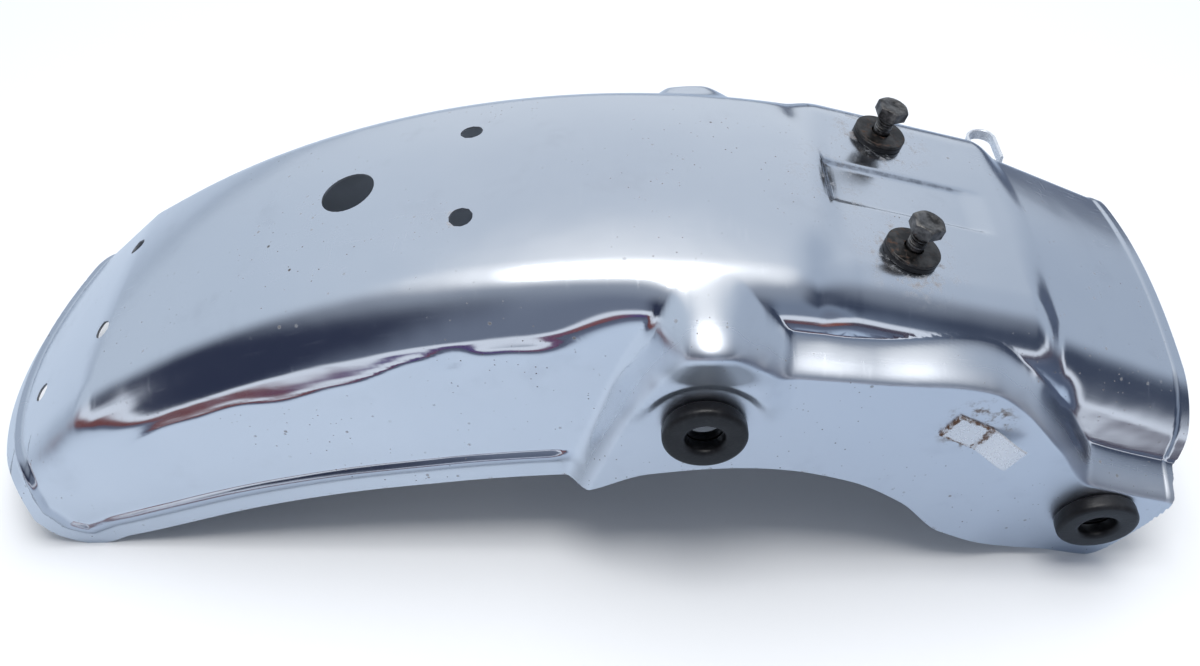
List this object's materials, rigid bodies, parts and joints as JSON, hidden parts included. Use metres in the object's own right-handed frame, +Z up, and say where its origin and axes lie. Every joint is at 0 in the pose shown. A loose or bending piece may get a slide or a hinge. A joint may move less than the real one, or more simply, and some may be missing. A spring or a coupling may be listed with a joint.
{
  "type": "motorcycle rear mudguard",
  "caption": "Curved chrome-plated steel rear mudguard with side skirts, flat mounting ears, rubber grommets, a bolt platform and small harness clips.",
  "frame": {"origin": "middle of the bounding box at the level the part rests on", "axes": "+X to the front end, +Y to the left side, +Z up from the resting level"},
  "size_m": [0.554, 0.1988, 0.1729],
  "materials": {
    "chrome": "polished plating with fine pits",
    "rubber": "matt",
    "dark_steel": "oxidised",
    "clip_steel": "dull plating with rust at the weld"
  },
  "bodies": {
    "root": {"mudguard_sheet": "chrome", "right_middle_grommet": "rubber", "right_front_grommet": "rubber", "right_mount_bolt": "dark_steel", "right_steel_washer": "dark_steel", "right_rubber_washer": "rubber", "right_weld_nut": "dark_steel", "left_middle_grommet": "rubber", "left_front_grommet": "rubber", "left_mount_bolt": "dark_steel", "left_steel_washer": "dark_steel", "left_rubber_washer": "rubber", "left_weld_nut": "dark_steel", "right_harness_clip": "clip_steel", "left_harness_loop": "clip_steel"}
  },
  "joints": []
}
